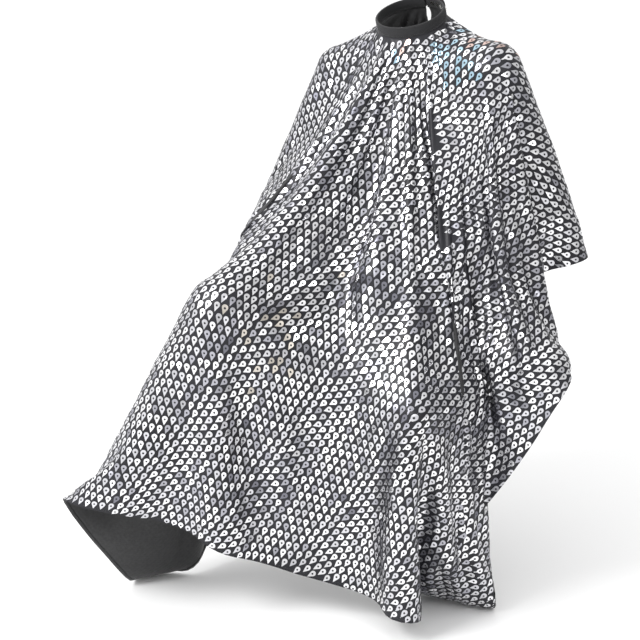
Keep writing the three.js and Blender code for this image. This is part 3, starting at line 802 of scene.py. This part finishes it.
def on_cape(flat_points, lift):
    """Where flat points lie on the hanging cape, lifted along its normal; and the normals."""
    r, c = places(flat_points)
    n = on_grid(grid_normals(surface), r, c)
    n /= np.linalg.norm(n, axis=1, keepdims=True)
    return on_grid(surface, r, c) + n * lift, n


rows_of_hem = [along_edge(0.2 * MM, 3 * MM)]
count = len(rows_of_hem[0])
whole_edge = np.linspace(0, 1, count)
for inset in (HEM_WIDTH / 2, HEM_WIDTH):
    line = along_edge(inset, 3 * MM)
    at = np.linspace(0, 1, len(line))
    rows_of_hem.append(np.stack([np.interp(whole_edge, at, line[:, k]) for k in (0, 1)], 1))
hem_grid, hem_normals = [], []
for line in rows_of_hem:
    q, n = on_cape(line, -CLOTH_THICKNESS / 2 - HEM_THICKNESS / 2 - 0.05 * MM)
    hem_grid.append(q)
    hem_normals.append(n)
hem_grid, hem_normals = np.stack(hem_grid), np.stack(hem_normals)
points, faces, kind = sheet_shell(hem_grid, hem_normals, HEM_THICKNESS)
hem = mesh_object("hem_fold", points, faces, [lining])
starts = along_edge(HEM_WIDTH * 0.75, STITCH_PITCH)
ahead = np.roll(starts, -1, 0) - starts
ahead[-1] = ahead[-2]
ends_flat = starts + ahead / np.linalg.norm(ahead, axis=1, keepdims=True) * STITCH
outside = CLOTH_THICKNESS / 2 + 0.15 * MM
inside_lift = -CLOTH_THICKNESS / 2 - HEM_THICKNESS - 0.15 * MM
pairs = []
for lift_by, sign in ((outside, 1), (inside_lift, -1)):
    a, n = on_cape(starts, lift_by)
    b, _ = on_cape(ends_flat, lift_by)
    pairs.append((a, b, n * sign))
good = np.isfinite(pairs[0][0]).all(1) & np.isfinite(pairs[0][1]).all(1)
good &= np.linalg.norm(pairs[0][0] - pairs[0][1], axis=1) < 2 * STITCH
hem_stitches = stitches("hem_stitches", *(np.concatenate([p[k][good] for p in pairs]) for k in range(3)))

# ---- Seam round the foot of the collar ----
STITCH_UP = -BAND_HEIGHT / 2 + 2.6 * MM
at = np.arange(NAPE_GAP, BAND_LENGTH - NAPE_GAP, 3.2 * MM)
rounds = []
for out_by, sign in ((BAND_THICKNESS + 0.42 * MM, 1), (-0.1 * MM, -1)):
    a, b = on_collar(at, out_by, STITCH_UP), on_collar(at + 2.3 * MM, out_by, STITCH_UP)
    n = (on_collar(at, out_by + MM, STITCH_UP) - a) / MM * sign
    rounds.append((a, b, n))
collar_stitches = stitches("collar_stitches", *(np.concatenate([p[k] for p in rounds]) for k in range(3)))
for piece, slot_name in ((hem, "print"), (hem_stitches, "print"), (collar_stitches, "knit")):
    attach(piece, "cape")

# ---- Tab: two layers of the collar's knit with a rounded end, box stitched at its root ----
HINGE_AT = NAPE_GAP / 2 + TAB_SEWN
SOCKET_AT = BAND_THICKNESS + 0.15 * MM + STUD_BASE + FIT_GAP
TAB_RISE = SOCKET_AT + STUD_BOSS + 0.9 * MM + FIT_GAP
TAB_OVER = NAPE_GAP / 2 + FIRST_STUD + SNAP_PITCH + TAB_END
TAB_LENGTH = HINGE_AT + TAB_OVER
REST_OUT = BAND_THICKNESS + FIT_GAP


def on_tab(s, out, up):
    """Points on the tab: s from its sewn root, out from its inner face, up from half height."""
    f = np.clip((s - TAB_SEWN) / TAB_RISE_RUN, 0, 1)
    rise = REST_OUT + (TAB_RISE - REST_OUT) * f * f * (3 - 2 * f)
    return on_collar(HINGE_AT - s, rise + out, up)


round_end = TAB_HEIGHT * 0.32
stations = np.concatenate([[0], np.linspace(0.6 * MM, TAB_LENGTH - round_end, 26),
                           TAB_LENGTH - round_end + round_end * np.sin(np.linspace(0.2, math.pi / 2, 8))])
h, w = TAB_HEIGHT / 2, TAB_THICKNESS
rings, faces = [], []
for s in stations:
    short = max(0, (s - (TAB_LENGTH - round_end)) / round_end)
    tall = h - round_end * (1 - math.sqrt(max(0, 1 - short * short)))
    ring = [(0.3 * w, -1), (0.75 * w, -1), (w, -0.93), (w * 1.02, 0), (w, 0.93), (0.75 * w, 1), (0.3 * w, 1),
            (0, 0.93), (0, -0.93)]
    o, u = np.array(ring).T
    rings.append(on_tab(np.full(len(ring), s), o, u * tall))
m = len(ring)
for i in range(len(stations) - 1):
    for k in range(m):
        a, b = i * m + k, i * m + (k + 1) % m
        faces.append((a, b, b + m, a + m))
faces.append(tuple(reversed(range(m))))
faces.append(tuple((len(stations) - 1) * m + k for k in range(m)))
tab = mesh_object("tab_knit", np.concatenate(rings), faces, [knit])
tab_lines = []
margin = 2 * MM
top, root, turn_in = h - margin, TAB_SEWN - MM, round_end * 0.55
path = [(root, top), (TAB_LENGTH - round_end, top), (TAB_LENGTH - margin, top - turn_in),
        (TAB_LENGTH - margin, turn_in - top), (TAB_LENGTH - round_end, -top), (root, -top)]
box = [(margin, top), (root, top), (root, -top), (margin, -top), (margin, top), (root, -top)]
for line in (path, box):
    line = np.array(line)
    length = np.concatenate([[0], np.cumsum(np.linalg.norm(np.diff(line, axis=0), axis=1))])
    t = np.arange(0.3 * MM, length[-1] - 2 * MM, 2.7 * MM)
    for a, b in zip(t, t + 1.9 * MM):
        tab_lines.append([[np.interp(v, length, line[:, k]) for k in (0, 1)] for v in (a, b)])
tab_lines = np.array(tab_lines)
sides = []
for out_by, sign in ((w + 0.05 * MM, 1), (-0.05 * MM, -1)):
    a, b = (on_tab(tab_lines[:, e, 0], np.full(len(tab_lines), out_by), tab_lines[:, e, 1]) for e in (0, 1))
    n = on_tab(tab_lines[:, 0, 0], np.full(len(tab_lines), out_by + MM), tab_lines[:, 0, 1])
    sides.append((a, b, (n - a) / MM * sign))
tab_stitches = stitches("tab_stitches", *(np.concatenate([sides[0][k], sides[1][k]]) for k in range(3)))
for piece in (tab, tab_stitches):
    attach(piece, "closure_tab")
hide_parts("tab_strip")

# ---- Camera, light and floor ----
AZIMUTH, ELEVATION = math.radians(42), math.radians(18)
CAMERA_AT = (1.900, -2.364, 0.388)
SENSOR, FOCAL_IN_FRAMES = 36, 1604.28 / 640     # frame width in mm, and the lens's focal length in frames
level = math.cos(ELEVATION)
back = Vector((math.sin(AZIMUTH) * level, -math.cos(AZIMUTH) * level, math.sin(ELEVATION)))
right = Vector((math.cos(AZIMUTH), math.sin(AZIMUTH), 0))
up = back.cross(right)
cam_data = bpy.data.cameras.new("camera")
cam_data.sensor_width = SENSOR
cam_data.lens = FOCAL_IN_FRAMES * SENSOR
cam = bpy.data.objects.new("camera", cam_data)
bpy.context.scene.collection.objects.link(cam)
cam.matrix_world = Matrix.Translation(CAMERA_AT) @ Matrix((right, up, back)).transposed().to_4x4()
bpy.context.scene.camera = cam

floor_mat = material("floor", (0.93, 0.93, 0.93), 0.7)
FLOOR_HALF, FLOOR_GAP = 14, 2 * MM
square = ((-1, -1), (1, -1), (1, 1), (-1, 1))
floor_corners = [(x * FLOOR_HALF, y * FLOOR_HALF, FLOOR - FLOOR_GAP) for x, y in square]
floor = mesh_object("floor", floor_corners, [(0, 1, 2, 3)], [floor_mat], smooth=False)

SKY_DARK, SKY_BRIGHT = 0.50, 1.40
world = bpy.data.worlds.new("studio")
world.use_nodes = True
sky = world.node_tree
above = sky.nodes.new("ShaderNodeTexCoord")
toward = sky.nodes.new("ShaderNodeVectorMath")
toward.operation = "DOT_PRODUCT"
toward.inputs[1].default_value = Vector((-0.45, -0.30, 0.84)).normalized()
glow = sky.nodes.new("ShaderNodeMapRange")
for socket, value in zip(("From Min", "From Max", "To Min", "To Max"), (-0.5, 1, SKY_DARK, SKY_BRIGHT)):
    glow.inputs[socket].default_value = value
sky.links.new(above.outputs["Generated"], toward.inputs[0])
sky.links.new(toward.outputs["Value"], glow.inputs["Value"])
sky.links.new(glow.outputs["Result"], sky.nodes["Background"].inputs["Strength"])
sky.nodes["Background"].inputs["Color"].default_value = (1, 1, 1, 1)
bpy.context.scene.world = world
bpy.context.scene.view_settings.view_transform = "Standard"


def softbox(name, place, target, size, watts):
    light = bpy.data.lights.new(name, "AREA")
    light.shape, light.size, light.energy = "DISK", size, watts
    o = bpy.data.objects.new(name, light)
    bpy.context.scene.collection.objects.link(o)
    o.location = place
    o.rotation_euler = (Vector(target) - Vector(place)).to_track_quat("-Z", "Y").to_euler()


middle = Vector((0, -0.15, -0.45))
softbox("key", middle + 1.6 * back - 2.4 * right + Vector((0, 0, 1.7)), middle, 1.6, 95)
softbox("fill", middle + 2.6 * back + 1.4 * right + Vector((0, 0, 0.9)), middle, 1.0, 10)

for name in frame["nodes"]:
    kindly = {"stud": nickel, "sock": nickel, "snap": enamel, "coll": elastic, "tab_": knit}.get(name[:4])
    if kindly is not None:
        o = frame["nodes"][name] if not isinstance(frame["nodes"], (list, tuple)) else bpy.data.objects[name]
        o.data.materials.clear()
        o.data.materials.append(kindly)
